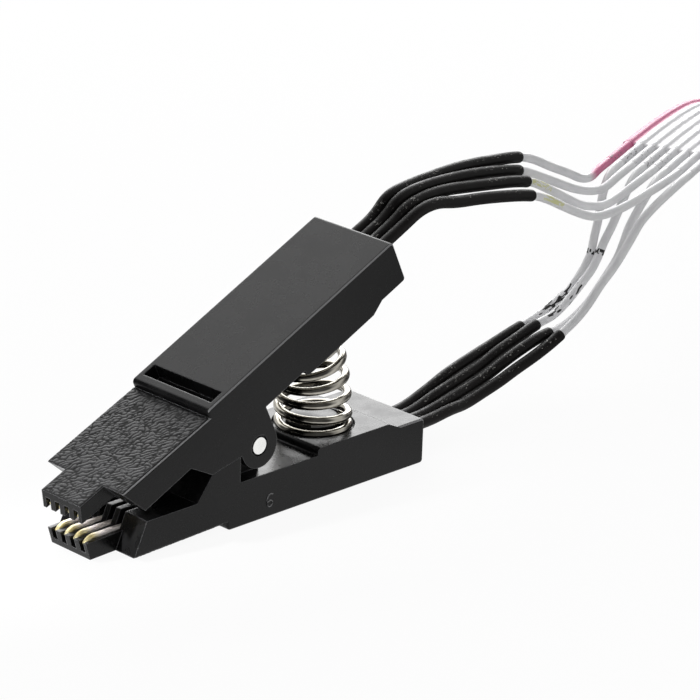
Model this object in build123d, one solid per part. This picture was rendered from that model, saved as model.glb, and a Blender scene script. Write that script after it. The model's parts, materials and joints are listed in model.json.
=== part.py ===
from build123d import *
import math
import os

# Sprung test clip for an eight-lead small-outline chip, with wires, ribbon and socket.
# Origin: on the resting face under the pivot axis, at mid-width. +X to the wires, +Z up.
# Millimetres and degrees.

# Jaws and contacts
contact_pitch = 1.27
contact_count = 4
contact_width = 0.55
contact_thickness = 0.42
contact_height = 2.3
contact_clearance = 0.03
nose_radius = 1.3
nose_turn = 50.0
nose_start = 17.3
tail_length = 2.4

# Arm moulding, seen from the side: distances from the pivot axis and heights above the raised face
arm_width = 10.4
pivot_height = 7.5
rear_length = 22.0
heel_drop = 0.6
heel_length = 3.6
heel_ramp = 1.3
heel_round = 0.35
seat_height = 5.2
seat_margin = 0.3
seat_edge_round = 0.4
seat_root_round = 0.2
seat_step = 0.74
stop_front = 5.9
stop_gap = 0.04
stop_ramp = 1.8
jaw_height = 3.8
jaw_length = 15.3
jaw_bevel = 1.5
recess_depth = 0.85
recess_front_depth = 0.45
recess_start = 3.85
bar_round = 0.45
bar_slot_round = 0.2
edge_round = 0.18
window_rear = 1.25
window_length = 1.4
window_end_wall = 0.6
window_depth = 1.6

# Comb at the tip of each jaw
tip_length = 3.05
tip_lean = 0.5
tip_front_height = 2.1
tip_back_height = 2.3
slot_width = 0.65
slot_floor = 1.05
slot_floor_length = 1.9
slot_ramp = 0.7
slot_depth_back = 5.3
outer_rib = 0.42

# Hinge
rest_angle = 25.5
pin_diameter = 1.65
pin_fit = 0.01
pin_running_clearance = 0.05
pin_mouth_width = 0.2
pin_mouth_depth = 0.3
ear_radius = 2.2
ear_thickness = 1.5
ear_gap = 0.15
lug_radius = 1.45
lug_thickness = 1.4
lug_side_clearance = 0.15

# Spring, its closed end turns, the pocket it stands in and the boss inside it
spring_diameter = 7.6
spring_wire = 0.85
spring_active_turns = 4.5
spring_position = 12.0
spring_seat_gap = 0.02
spring_pocket_depth = 0.45
spring_pocket_clearance = 0.22
boss_clearance = 0.3
boss_height = 1.2
boss_chamfer = 0.3

# Wires, heat-shrink sleeves and solder joints
wire_diameter = 0.89
sleeve_diameter = 1.2
sleeve_bore = 0.95
solder_clearance = 0.04
solder_length = 3.9
pocket_depth = 1.0
pocket_clearance = 0.08
upper_lead_out = 7.6
lower_lead_out = 5.0
sleeve_share = 0.7
bend_share = 0.45

# Flat ribbon of eight conductors: where it starts, its heading and how it comes down
ribbon_pitch = 1.27
ribbon_count = 8
ribbon_heading = 20.8
ribbon_start = Vector(59.78, 0.143, 20.6)
ribbon_lead_in = 2.8

# Ribbon socket, two rows of four, mating face up
socket_pitch = 2.54
socket_rows = 2
socket_end_margin = 2.54
socket_depth = 6.0
socket_height = 8.0
socket_hole = 0.9
socket_cavity = 1.7
socket_cavity_height = 6.2
socket_key_width = 4.4
socket_key_depth = 0.9
socket_key_height = 5.0
cover_height = 2.6
cover_arm_thickness = 1.1
cover_arm_height = 4.0
cover_clearance = 0.05
cover_barb = 0.35
socket_catch_height = 1.05
terminal_thickness = 0.3
terminal_width = 1.4
terminal_fork_gap = 0.4
terminal_fork_height = 1.4
terminal_clearance = 0.05

half_width = arm_width / 2
heel_height = seat_height - heel_drop
floor_height = seat_height - seat_step
spring_floor = seat_height - spring_pocket_depth
spring_pocket_radius = spring_diameter / 2 + spring_pocket_clearance
seat_front = spring_position - spring_pocket_radius - seat_margin
contact_bottom = contact_height - contact_thickness / 2
contact_top = contact_height + contact_thickness / 2
contact_rows = [((contact_count - 1) / 2 - row) * contact_pitch for row in range(contact_count)]
tip_half_width = contact_rows[0] + slot_width / 2 + outer_rib
tip_front = jaw_length + tip_length
pocket_floor = rear_length - pocket_depth
wire_start = pocket_floor + solder_length
pivot = Vector(0, 0, pivot_height)
stop_rear = ear_radius + ear_gap
stop_slope = math.tan(math.radians(rest_angle / 2))
ribbon_width = ribbon_count * ribbon_pitch
ribbon_along = Vector(1, 0, 0).rotate(Axis.Z, ribbon_heading)
ribbon_across = Vector(0, -1, 0).rotate(Axis.Z, ribbon_heading)

# The upper arm is the lower one turned over and swung about the pivot pin
turned_over = Pos(pivot) * Rot(0, -rest_angle, 0) * Rot(180, 0, 0) * Pos(-pivot)


def slab(outline, y_low, y_high):
    """Side-view outline of (x, z) points, carried across from y_low to y_high."""
    face = make_face(Polyline(*outline, close=True))
    return extrude(Plane((0, y_high, 0), x_dir=(1, 0, 0), z_dir=(0, -1, 0)) * face, amount=y_high - y_low)


def cross_rod(radius, x, z, y_low, y_high):
    """Round bar along Y."""
    return Pos(x, (y_low + y_high) / 2, z) * Rot(90, 0, 0) * Cylinder(radius, y_high - y_low)


def block(x_low, x_high, y_low, y_high, z_low, z_high):
    """Box between two corners."""
    middle = Pos((x_low + x_high) / 2, (y_low + y_high) / 2, (z_low + z_high) / 2)
    return middle * Box(x_high - x_low, y_high - y_low, z_high - z_low)


def upper_point(x, y, z):
    """Where a point of the lower arm lies on the upper arm, with y counted from the same side."""
    return (turned_over * Pos(x, -y, z)).position


def stop_height(x):
    """Top of the closing stop: the plane half-way between the arms, less half the gap."""
    return pivot_height - x * stop_slope - stop_gap / 2


def recess_height(x):
    """Height of the tilted grain face at a distance in front of the pivot."""
    share = (x - recess_start) / (tip_front - recess_start)
    return recess_depth + (recess_front_depth - recess_depth) * share


def cross_edge(body, x, z):
    """Edge of a body that runs across it at one place of the side view."""
    return body.edges().filter_by(Axis.Y).sort_by_distance((x, 0, z))[0]


def arm_body():
    """Solid side profile of an arm with its closing stop, rounded where the hand meets it."""
    outline = [
        (rear_length, 0),
        (rear_length, heel_height),
        (rear_length - heel_length, heel_height),
        (rear_length - heel_length - heel_ramp, seat_height),
        (seat_front, seat_height),
        (seat_front, floor_height),
        (-stop_rear, floor_height),
        (-stop_rear, stop_height(stop_rear)),
        (-stop_front, stop_height(stop_front)),
        (-stop_front - stop_ramp, jaw_height),
        (-jaw_length + jaw_bevel, jaw_height),
        (-jaw_length, recess_height(jaw_length)),
        (-recess_start, recess_depth),
        (-recess_start, 0),
    ]
    body = slab(outline, -half_width, half_width)
    for x, z, radius in (
        (rear_length, 0, heel_round),
        (rear_length, heel_height, heel_round),
        (seat_front, seat_height, seat_edge_round),
        (seat_front, floor_height, seat_root_round),
        (-recess_start, 0, bar_round),
    ):
        body = fillet(cross_edge(body, x, z), radius)
    outer_edges = [
        edge for edge in body.edges().filter_by(GeomType.LINE)
        if abs((edge % 0.5).X) > 0.9 and edge.center().Z < recess_depth + edge_round
    ]
    return fillet(outer_edges, edge_round)


def spring_pocket():
    """Round pocket in the seat that the spring stands in."""
    return Pos(spring_position, 0, spring_floor) * Cylinder(
        spring_pocket_radius, 2 * spring_pocket_depth, align=(Align.CENTER, Align.CENTER, Align.MIN))


def spring_boss():
    """Boss in the pocket that keeps the spring in place."""
    radius = spring_diameter / 2 - spring_wire - boss_clearance
    boss = Pos(spring_position, 0, spring_floor) * Cylinder(
        radius, boss_height, align=(Align.CENTER, Align.CENTER, Align.MIN))
    return chamfer(boss.edges().sort_by(Axis.Z)[-1], boss_chamfer)


def ears():
    """Outer ear on the +Y side and inner lug on the other, both round about the pivot."""
    outer = slab([
        (-stop_rear, floor_height - edge_round),
        (ear_radius, floor_height - edge_round),
        (ear_radius, pivot_height),
        (-ear_radius, pivot_height),
        (-ear_radius, stop_height(ear_radius)),
        (-stop_rear, stop_height(stop_rear)),
    ], half_width - ear_thickness, half_width)
    outer += cross_rod(ear_radius, 0, pivot_height, half_width - ear_thickness, half_width)
    lug_outside = -half_width + ear_thickness + lug_side_clearance
    lug_inside = lug_outside + lug_thickness
    lug = block(-lug_radius, lug_radius, lug_outside, lug_inside, floor_height - edge_round, pivot_height)
    lug += cross_rod(lug_radius, 0, pivot_height, lug_outside, lug_inside)
    return outer + lug


def comb_tip():
    """Narrow tip in front of the jaw, before its slots are cut."""
    bevel_foot = recess_height(jaw_length)
    bevel_run = jaw_bevel * (tip_back_height - bevel_foot) / (jaw_height - bevel_foot)
    outline = [
        (-jaw_length + jaw_bevel, recess_height(jaw_length - jaw_bevel)),
        (-tip_front, recess_front_depth),
        (-tip_front - tip_lean, tip_front_height),
        (-jaw_length + bevel_run, tip_back_height),
        (-jaw_length + jaw_bevel, tip_back_height),
    ]
    return slab(outline, -tip_half_width, tip_half_width)


def contact_cut(y):
    """Slot in the comb and channel through the arm for one contact."""
    groove_floor = contact_bottom - contact_clearance
    deep_end = -tip_front - tip_lean + slot_floor_length
    slot_back = -jaw_length + slot_depth_back
    slot = slab([
        (-tip_front - 2 * tip_lean, slot_floor),
        (deep_end, slot_floor),
        (deep_end + slot_ramp, groove_floor),
        (slot_back, groove_floor),
        (slot_back, jaw_height + edge_round),
        (-tip_front - 2 * tip_lean, jaw_height + edge_round),
    ], y - slot_width / 2, y + slot_width / 2)
    half_channel = contact_width / 2 + contact_clearance
    channel = block(slot_back - slot_ramp, rear_length, y - half_channel, y + half_channel,
                    groove_floor, contact_top + contact_clearance)
    return slot + channel


def wire_pocket():
    """Shallow pocket across the rear face that the sleeves plug into."""
    reach = sleeve_diameter / 2 + pocket_clearance
    side = contact_rows[0] + reach
    return block(pocket_floor, rear_length + pocket_depth, -side, side,
                 contact_height - reach, contact_height + reach)


def window():
    """Slot across the raised face, in front of the pivot."""
    reach = half_width - window_end_wall
    return block(-window_rear - window_length, -window_rear, -reach, reach, -window_depth, window_depth)


def pin_bore(clearance):
    """Bore through ear and lug, with a wider mouth at the outer face of the ear."""
    radius = pin_diameter / 2
    mouth_start = half_width - pin_mouth_depth
    bore = cross_rod(radius + clearance, 0, pivot_height, -arm_width, arm_width)
    return bore + cross_rod(radius + pin_mouth_width, 0, pivot_height, mouth_start, arm_width)


def arm(pin_clearance):
    """One arm moulding, raised face down."""
    moulding = arm_body() - window()
    moulding = fillet(cross_edge(moulding, -window_rear - window_length, 0), bar_slot_round)
    moulding -= spring_pocket()
    moulding += spring_boss() + ears() + comb_tip()
    for y in contact_rows:
        moulding -= contact_cut(y)
    moulding -= wire_pocket()
    return moulding - pin_bore(pin_clearance)


def contact(y):
    """Flat spring contact: solder tail, straight strip and hooked nose."""
    tail_end = rear_length + tail_length
    nose_centre = (-nose_start, contact_height - nose_radius)
    strip = Polyline((tail_end, contact_bottom), (-nose_start, contact_bottom))
    inner = CenterArc(nose_centre, nose_radius - contact_thickness / 2, 90, nose_turn)
    outer = CenterArc(nose_centre, nose_radius + contact_thickness / 2, 90, nose_turn)
    back = Polyline((-nose_start, contact_top), (tail_end, contact_top), (tail_end, contact_bottom))
    profile = make_face(strip + inner + Line(inner @ 1, outer @ 1) + outer + back)
    side = Plane((0, y + contact_width / 2, 0), x_dir=(1, 0, 0), z_dir=(0, -1, 0))
    return extrude(side * profile, amount=contact_width)


def solder_joint(y):
    """Solder round a tail, filling the front of the sleeve up to the end of the wire."""
    radius = sleeve_bore / 2 - solder_clearance
    joint = Pos(pocket_floor, y, contact_height) * Rot(0, 90, 0) * Cylinder(
        radius, solder_length, align=(Align.CENTER, Align.CENTER, Align.MIN))
    half = contact_width / 2 + contact_clearance
    tail_end = rear_length + tail_length + contact_clearance
    return joint - block(pocket_floor - pocket_depth, tail_end, y - half, y + half,
                         contact_bottom - contact_clearance, contact_top + contact_clearance)


def spring():
    """Compression spring fanned between the tilted seats, as half turns whose ends all run along Y."""
    lift = (pivot_height - spring_floor) / math.sin(math.radians(rest_angle / 2))
    fan_axis = pivot - Vector(lift, 0, 0).rotate(Axis.Y, -rest_angle / 2)
    fan_radius = spring_position - fan_axis.X
    coil_radius = (spring_diameter - spring_wire) / 2
    closed_rise = spring_wire + spring_seat_gap
    turns = spring_active_turns + 2

    def closed_angle(turn, radius):
        climb = closed_rise * max(0, 2 * turn - 1)
        return math.degrees((spring_wire / 2 + spring_seat_gap + climb) / radius)

    def fan_angle(turn, radius):
        if turn <= 1:
            return closed_angle(turn, radius)
        if turn >= turns - 1:
            return rest_angle - closed_angle(turns - turn, radius)
        first = closed_angle(1, radius)
        return first + (rest_angle - 2 * first) * (turn - 1) / spring_active_turns

    def coil_point(half_turn):
        radius = fan_radius + (-coil_radius if half_turn % 2 else coil_radius)
        return fan_axis + Vector(radius, 0, 0).rotate(Axis.Y, -fan_angle(half_turn / 2, radius))

    half_turns = []
    for i in range(round(2 * turns)):
        start = coil_point(i)
        end = coil_point(i + 1)
        bulge = Vector(0, (end - start).length / 2, 0) * (1 if i % 2 else -1)
        half_turns.append(ThreePointArc(start, (start + end) / 2 + bulge, end))
    path = Wire(half_turns)
    section = Plane(path @ 0, z_dir=path % 0) * Circle(spring_wire / 2)
    return sweep(section, path=path)


def cord_radii(points):
    """Largest bend at each corner that leaves a tenth of the shorter run straight."""
    radii = []
    for before, corner, after in zip(points, points[1:], points[2:]):
        run_in = corner - before
        run_out = after - corner
        half_turn = math.radians(run_in.get_angle(run_out)) / 2
        radii.append(bend_share * min(run_in.length, run_out.length) / math.tan(half_turn))
    return radii


def tube(points, radii, section_of):
    """Section carried along straight runs and tangent arcs."""
    path = FilletPolyline(*points, radius=radii)
    start = Plane(points[0], x_dir=ribbon_across, z_dir=points[1] - points[0])
    return sweep(start * section_of, path=path), path.length


def conductor(index):
    """Start of one ribbon conductor, counted from the far edge."""
    return ribbon_start + ribbon_across * (index - (ribbon_count - 1) / 2) * ribbon_pitch


# Hand-chosen points of each wire between its bend behind the arm and the ribbon
upper_wire_points = [
    [(33.4, 1.92, 26.2), (44.5, 2.0, 25.05), (49.6, 2.05, 22.15), (53.2, 2.4, 20.75)],
    [(32.9, 0.65, 25.6), (43.4, 0.66, 24.15), (48.6, 0.62, 20.95), (53.6, 0.45, 19.75)],
    [(32.4, -0.66, 25.1), (42.9, -0.75, 23.35), (47.4, -1.6, 20.2), (52.6, -2.15, 19.35)],
    [(31.9, -1.95, 24.5), (42.4, -2.35, 22.3), (46.4, -3.55, 19.8), (51.2, -4.5, 19.75)],
]
lower_wire_points = [
    [(34.3, 1.9, 5.15), (46.0, 1.75, 8.1), (50.6, 1.4, 10.7), (52.9, 1.1, 13.7), (53.5, 1.15, 16.6),
     (54.1, 1.3, 19.0)],
    [(34.8, 0.62, 4.4), (47.0, 0.42, 8.4), (51.4, 0.25, 11.6), (53.6, 0.1, 14.6), (54.6, -0.45, 18.2)],
    [(35.2, -0.66, 3.7), (47.5, -1.4, 7.8), (50.6, -2.4, 11.6), (52.4, -2.9, 15.0), (54.0, -2.95, 18.2)],
    [(35.6, -1.95, 3.15), (48.6, -2.75, 7.3), (51.3, -3.6, 11.4), (52.7, -4.35, 15.0), (53.4, -5.05, 18.2)],
]
# Hand-chosen points of the ribbon, as distance along its heading and height
ribbon_points = [(14.0, 21.2), (30.0, 20.2), (45.0, 13.4), (55.5, 7.6)]
ribbon_flat_start = 68.0
ribbon_length_along = 90.0


def upper_route(row):
    """Points of an upper wire, and the seat of its sleeve in the arm."""
    y = contact_rows[row]
    end = conductor(2 * row)
    points = [upper_point(wire_start, y, contact_height),
              upper_point(rear_length + upper_lead_out, y, contact_height)]
    points += [Vector(*point) for point in upper_wire_points[row]]
    return upper_point(pocket_floor, y, contact_height), points + [end - ribbon_along * ribbon_lead_in, end]


def lower_route(row):
    """Points of a lower wire, and the seat of its sleeve in the arm."""
    y = contact_rows[row]
    end = conductor(2 * row + 1)
    points = [Vector(wire_start, y, contact_height),
              Vector(rear_length + lower_lead_out, y, contact_height)]
    points += [Vector(*point) for point in lower_wire_points[row]]
    return Vector(pocket_floor, y, contact_height), points + [end - ribbon_along * ribbon_lead_in, end]


def report_cord(name, solid, area, length, radii):
    """Print a cord's length, tightest bend, and volume over section times length."""
    ratio = solid.volume / (area * length)
    print(f"{name}: length {length:.1f}, tightest bend {min(radii):.1f}, volume ratio {ratio:.4f}")


def wire(name, points):
    """One insulated wire."""
    section = Circle(wire_diameter / 2)
    radii = cord_radii(points)
    solid, length = tube(points, radii, section)
    report_cord(name, solid, section.area, length, radii)
    return solid


def sleeve(seat, points):
    """Heat-shrink sleeve from the arm over the solder joint and the first part of a wire."""
    section = Circle(sleeve_diameter / 2) - Circle(sleeve_bore / 2)
    end = points[2] + (points[3] - points[2]) * sleeve_share
    return tube([seat, points[1], points[2], end], cord_radii(points)[:2], section)[0]


def ribbon():
    """Flat ribbon from the split wires down to the socket."""
    clamp_height = cover_height + wire_diameter / 2
    profile = [(0, ribbon_start.Z)] + ribbon_points
    profile += [(ribbon_flat_start, clamp_height), (ribbon_length_along, clamp_height)]
    points = [Vector(ribbon_start.X, ribbon_start.Y, z) + ribbon_along * along for along, z in profile]
    section = Rectangle(ribbon_width, wire_diameter)
    radii = cord_radii(points)
    solid, length = tube(points, radii, section)
    report_cord("ribbon", solid, section.area, length, radii)
    return solid


# The socket is modelled with its length along Y, its ribbon plane at height 0 and its centre at X 0
socket_columns = ribbon_count // socket_rows
socket_length = (socket_columns - 1) * socket_pitch + 2 * socket_end_margin
ribbon_half = wire_diameter / 2
socket_place = (
    Pos(ribbon_start.X, ribbon_start.Y, cover_height + ribbon_half)
    * Rot(0, 0, ribbon_heading)
    * Pos(ribbon_length_along - socket_depth / 2, 0, 0)
)
socket_grid = [
    ((row - (socket_rows - 1) / 2) * socket_pitch, (column - (socket_columns - 1) / 2) * socket_pitch)
    for row in range(socket_rows)
    for column in range(socket_columns)
]


def socket_body():
    """Housing over the ribbon, with a keyed side and one hole for each pin."""
    half_length = socket_length / 2
    half_depth = socket_depth / 2
    top = ribbon_half + socket_height
    body = block(-half_depth, half_depth, -half_length, half_length, ribbon_half, top)
    body += block(half_depth, half_depth + socket_key_depth, -socket_key_width / 2, socket_key_width / 2,
                  top - socket_key_height, top)
    for x, y in socket_grid:
        body -= Pos(x, y, top) * Box(socket_hole, socket_hole, 2 * socket_height)
        half_cavity = socket_cavity / 2
        body -= block(x - half_cavity, x + half_cavity, y - half_cavity, y + half_cavity,
                      0, ribbon_half + socket_cavity_height)
    for side in (-1, 1):
        catch = side * (half_length - cover_barb / 2 + cover_clearance)
        body -= Pos(0, catch, ribbon_half + cover_arm_height) * Box(
            socket_depth / 2, cover_barb + 2 * cover_clearance, socket_catch_height)
    return body


def socket_cover():
    """Clamp under the ribbon, with a barbed arm at each end."""
    half_length = socket_length / 2
    half_depth = socket_depth / 2
    arm_inside = half_length + cover_clearance
    arm_outside = arm_inside + cover_arm_thickness
    cover = block(-half_depth, half_depth, -arm_outside, arm_outside,
                  -ribbon_half - cover_height, -ribbon_half)
    arm_top = ribbon_half + cover_arm_height + cover_barb
    barb_low = ribbon_half + cover_arm_height - cover_barb
    arm_depth = socket_depth / 2 - 2 * cover_clearance
    for side in (-1, 1):
        outline = make_face(Polyline(
            (side * arm_outside, -ribbon_half),
            (side * arm_outside, arm_top),
            (side * arm_inside, arm_top),
            (side * (arm_inside - cover_barb), barb_low),
            (side * arm_inside, barb_low),
            (side * arm_inside, -ribbon_half),
            close=True))
        cover += extrude(Plane.YZ * outline, amount=arm_depth / 2, both=True)
    return cover


def terminals():
    """Spring terminals in the housing, each with a fork down to its conductor."""
    fork_top = ribbon_half + terminal_fork_height
    top = ribbon_half + socket_cavity_height - terminal_clearance
    solids = []
    for x, y in socket_grid:
        wall = x - socket_cavity / 2 + terminal_clearance
        blade = block(wall, wall + terminal_thickness, y - terminal_width / 2, y + terminal_width / 2,
                      ribbon_half, top)
        blade -= block(wall - terminal_clearance, wall + socket_cavity / 2, y - terminal_fork_gap / 2,
                       y + terminal_fork_gap / 2, 0, fork_top)
        solids.append(blade)
    return Compound(solids)


def build():
    """Every piece of the clip by name, at rest."""
    lower_arm = arm(pin_fit)
    upper_arm = turned_over * arm(pin_running_clearance)
    pieces = {
        "lower_arm": lower_arm,
        "upper_arm": upper_arm,
        "pivot_pin": cross_rod(pin_diameter / 2, 0, pivot_height, -half_width, half_width),
        "spring": spring(),
        "ribbon": ribbon(),
        "socket_body": socket_place * socket_body(),
        "socket_cover": socket_place * socket_cover(),
        "socket_terminals": socket_place * terminals(),
    }
    for row, y in enumerate(contact_rows):
        number = row + 1
        pieces[f"lower_contact_{number}"] = contact(y)
        pieces[f"upper_contact_{number}"] = turned_over * contact(-y)
        pieces[f"lower_solder_{number}"] = solder_joint(y)
        pieces[f"upper_solder_{number}"] = turned_over * solder_joint(-y)
        for level, route in (("lower", lower_route), ("upper", upper_route)):
            seat, points = route(row)
            pieces[f"{level}_sleeve_{number}"] = sleeve(seat, points)
            pieces[f"{level}_wire_{number}"] = wire(f"{level}_wire_{number}", points)
    return pieces


os.makedirs("parts", exist_ok=True)
for name, piece in build().items():
    export_step(piece, f"parts/{name}.step")
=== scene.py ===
import json
import math
import random

import bmesh
import bpy
from mathutils import Matrix, Vector


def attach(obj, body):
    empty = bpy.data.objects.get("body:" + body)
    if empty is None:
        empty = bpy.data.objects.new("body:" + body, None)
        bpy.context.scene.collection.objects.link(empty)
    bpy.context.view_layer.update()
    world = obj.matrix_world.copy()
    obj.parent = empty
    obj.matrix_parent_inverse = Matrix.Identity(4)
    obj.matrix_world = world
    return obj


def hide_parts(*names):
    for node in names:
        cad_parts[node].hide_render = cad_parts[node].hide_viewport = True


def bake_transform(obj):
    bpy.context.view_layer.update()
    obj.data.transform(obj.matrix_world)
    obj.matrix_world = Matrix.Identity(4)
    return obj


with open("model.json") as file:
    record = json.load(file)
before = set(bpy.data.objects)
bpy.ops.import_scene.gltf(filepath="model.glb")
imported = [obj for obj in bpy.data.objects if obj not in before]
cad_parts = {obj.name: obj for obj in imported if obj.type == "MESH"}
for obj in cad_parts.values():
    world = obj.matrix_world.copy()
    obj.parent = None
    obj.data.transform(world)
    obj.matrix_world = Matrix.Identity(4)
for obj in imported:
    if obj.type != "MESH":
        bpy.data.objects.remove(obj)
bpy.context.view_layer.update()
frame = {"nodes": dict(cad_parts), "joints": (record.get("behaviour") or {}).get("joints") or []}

# Sprung test clip for an eight-lead chip.
# Sizes are in metres, in the frame of the solids. Lists of points and rows are in millimetres.
mm = 0.001
lower_body = "base"
upper_body = "upper_jaw"
solids = frame["nodes"]
pivot = Vector(frame["joints"][0]["pos_m"])
rest_angle = math.radians(25.5)

# The upper arm is the lower one turned over and swung about the pivot pin
turned_over = (Matrix.Translation(pivot) @ Matrix.Rotation(-rest_angle, 4, "Y")
               @ Matrix.Rotation(math.pi, 4, "X") @ Matrix.Translation(-pivot))
not_turned = Matrix.Identity(4)

# Arm and contact sizes that the dressing pieces sit on
half_width = 5.2 * mm
recess_depth = 0.85 * mm
recess_front_depth = 0.45 * mm
recess_start = 3.85 * mm
jaw_length = 15.3 * mm
tip_length = 3.05 * mm
tip_half_width = 2.65 * mm
pocket_floor = 21.0 * mm
contact_height = 2.3 * mm
contact_width = 0.55 * mm
contact_thickness = 0.42 * mm
contact_corner = 0.13 * mm
contact_tail_end = 24.4 * mm
nose_start = 17.3 * mm
nose_radius = 1.3 * mm
nose_turn = math.radians(50.0)
nose_steps = 12

# Dome in front of the nose, as reach in millimetres and share of the strip's section
nose_dome = ((0.15, 0.45), (0.12, 0.78), (0.06, 0.94))

# Camera
camera_place = (-0.20951, -0.22252, 0.13045)
camera_turn = (69.425, -1.871, -44.769)
camera_lens = 181.67
camera_sensor = 36.0

# Floor and surround
floor_size = 6.0
floor_drop = 0.02 * mm
floor_grey = 0.85
floor_white_share = 0.93
surround_light = 0.48

# Dim room that glossy pieces mirror: each side's middle, and the cosines where it starts and is full
dim_sides = [
    (Vector((-0.90, -0.35, 0.25)).normalized(), -0.2, 0.25),
    (Vector((1.0, -0.05, 0.0)).normalized(), 0.75, 0.95),
]
dim_most = 0.9
dim_floor_start = 22 * mm
dim_floor_full = 60 * mm

# Wires
contact_rows = [1.905, 0.635, -0.635, -1.905]
wire_start = 24.9
wire_radius = 0.445 * mm
wire_step = 0.5 * mm
wire_overlap = 0.5 * mm
sleeve_radius = 0.6 * mm
sleeve_step = 0.4 * mm
upper_lead_out = 26.2
lower_lead_out = 26.3

# Lip of a sleeve, as distance from its end and share of its radius
sleeve_lip_start = 0.3 * mm
sleeve_lip = [(-0.12 * mm, 0.97), (0.0, 0.88)]
sleeve_mouth = 0.05 * mm

# Sleeve ends, along the wires, and the points that the wires run by
upper_sleeve_ends = [22.5, 21.2, 20.7, 19.7]
lower_sleeve_ends = [19.1, 20.0, 20.1, 20.3]
upper_wire_points = [
    [(23.0, 1.9, 25.2), (25.4, 1.9, 25.6), (29.0, 1.9, 25.9), (33.2, 1.9, 26.1), (37.4, 2.0, 25.8),
     (41.8, 2.0, 25.4), (44.0, 2.0, 24.7), (46.5, 2.0, 23.4), (49.5, 2.0, 22.1), (51.6, 2.2, 21.0),
     (53.4, 2.4, 20.7)],
    [(23.4, 0.6, 25.4), (27.6, 0.6, 25.8), (33.8, 0.6, 25.6), (40.5, 0.7, 24.6), (42.4, 0.7, 23.8),
     (45.1, 0.6, 22.6), (47.9, 0.6, 21.3), (49.7, 0.6, 20.6), (51.7, 0.5, 20.1), (53.4, 0.4, 20.1)],
    [(23.4, -0.6, 24.9), (27.7, -0.6, 25.4), (32.1, -0.6, 24.9), (40.1, -0.7, 24.0), (42.9, -0.7, 22.6),
     (45.0, -1.2, 21.4), (47.2, -1.6, 20.1), (49.1, -1.8, 19.6), (51.1, -2.1, 19.4)],
    [(23.6, -1.9, 24.6), (26.0, -1.9, 24.9), (28.7, -1.9, 24.3), (32.6, -2.0, 24.0), (39.3, -2.2, 23.0),
     (41.7, -2.3, 22.0), (43.3, -2.6, 21.1), (45.4, -3.3, 20.0), (47.0, -3.7, 19.4), (48.8, -4.0, 19.4),
     (50.8, -4.6, 19.9)],
]
lower_wire_points = [
    [(30.2, 1.9, 3.6), (32.2, 1.9, 4.4), (34.4, 1.9, 5.0), (36.9, 1.9, 5.6), (39.2, 1.9, 6.1),
     (41.3, 1.8, 6.7), (46.6, 1.8, 7.8), (48.3, 1.7, 8.7), (50.1, 1.6, 9.4), (51.2, 1.4, 10.6),
     (52.1, 1.3, 11.8), (52.8, 1.2, 13.0), (52.9, 1.1, 14.6), (53.5, 1.1, 16.6), (54.1, 1.3, 19.2)],
    [(29.0, 0.6, 3.2), (31.0, 0.6, 3.7), (33.5, 0.6, 4.3), (36.1, 0.6, 4.9), (38.7, 0.6, 5.9),
     (41.2, 0.5, 6.6), (44.1, 0.5, 7.5), (46.3, 0.4, 7.8), (48.0, 0.4, 8.6), (49.3, 0.4, 9.5),
     (50.5, 0.3, 10.5), (51.9, 0.2, 11.7), (52.8, 0.2, 13.0), (53.5, 0.1, 14.6), (54.2, -0.2, 16.0)],
    [(29.3, -0.7, 2.9), (31.1, -0.7, 3.3), (32.9, -0.6, 3.6), (35.3, -0.7, 4.2), (37.5, -0.9, 5.2),
     (39.8, -1.1, 6.1), (42.3, -1.2, 6.8), (44.2, -1.2, 7.0), (46.5, -1.2, 7.2), (47.9, -1.5, 8.1),
     (49.3, -1.8, 9.2), (50.3, -2.2, 10.8), (51.3, -2.5, 12.2), (52.4, -2.7, 13.6), (53.0, -2.9, 15.3),
     (53.6, -3.0, 17.1)],
    [(29.2, -1.9, 2.7), (31.2, -1.9, 2.7), (33.7, -1.9, 3.3), (36.0, -2.1, 4.0), (38.2, -2.2, 4.8),
     (40.6, -2.4, 5.6), (43.3, -2.5, 6.6), (46.3, -3.0, 8.5), (47.8, -3.3, 10.1), (48.8, -3.6, 11.7),
     (50.0, -4.0, 13.1), (51.2, -4.2, 14.6), (52.0, -4.7, 16.4), (53.2, -5.0, 18.4)],
]

# Ribbon, with its points as distance along its heading and height
ribbon_heading = math.radians(20.8)
ribbon_start = Vector((59.78, 0.143, 21.0))
ribbon_lead_in = 2.8
ribbon_pitch = 1.27
ribbon_count = 8
ribbon_web = 0.2 * mm
ribbon_split = 6.0 * mm
ribbon_step = 0.8 * mm
ribbon_points = [(0.0, 21.0), (14.0, 21.6), (30.0, 20.4), (45.0, 13.4), (55.5, 7.6), (68.0, 3.045),
                 (90.0, 3.045)]
pink = (0.62, 0.16, 0.30)
pink_from = 34.3
ribbon_along = Vector((math.cos(ribbon_heading), math.sin(ribbon_heading), 0))
ribbon_across = Vector((math.sin(ribbon_heading), -math.cos(ribbon_heading), 0))

# Spring between the two seats
spring_diameter = 7.6 * mm
spring_wire = 0.85 * mm
spring_active_turns = 4.5
spring_position = 12.0 * mm
spring_seat_gap = 0.02 * mm
spring_floor = 4.75 * mm
spring_steps_per_turn = 48
spring_easing = (-0.16, -0.08, 0.0, 0.08, 0.16)

# Leather grain: heading and wavelengths of its folds, and how wide the grooves are
grain_heading = math.radians(-50.0)
grain_spread = 0.5
grain_wavelengths = (0.48, 1.1)
grain_wave_count = 40
grain_groove = 0.5

# Mould number on the near side of the lower arm, as length and height
mould_number_radius = 0.085 * mm
mould_number_step = 0.08 * mm
mould_number_stroke = [(1.80, 2.18), (1.55, 2.36), (1.22, 2.12), (1.08, 1.66), (1.12, 1.16), (1.42, 0.96),
                       (1.76, 1.14), (1.80, 1.46), (1.50, 1.70), (1.16, 1.50)]


# Node tools

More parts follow.
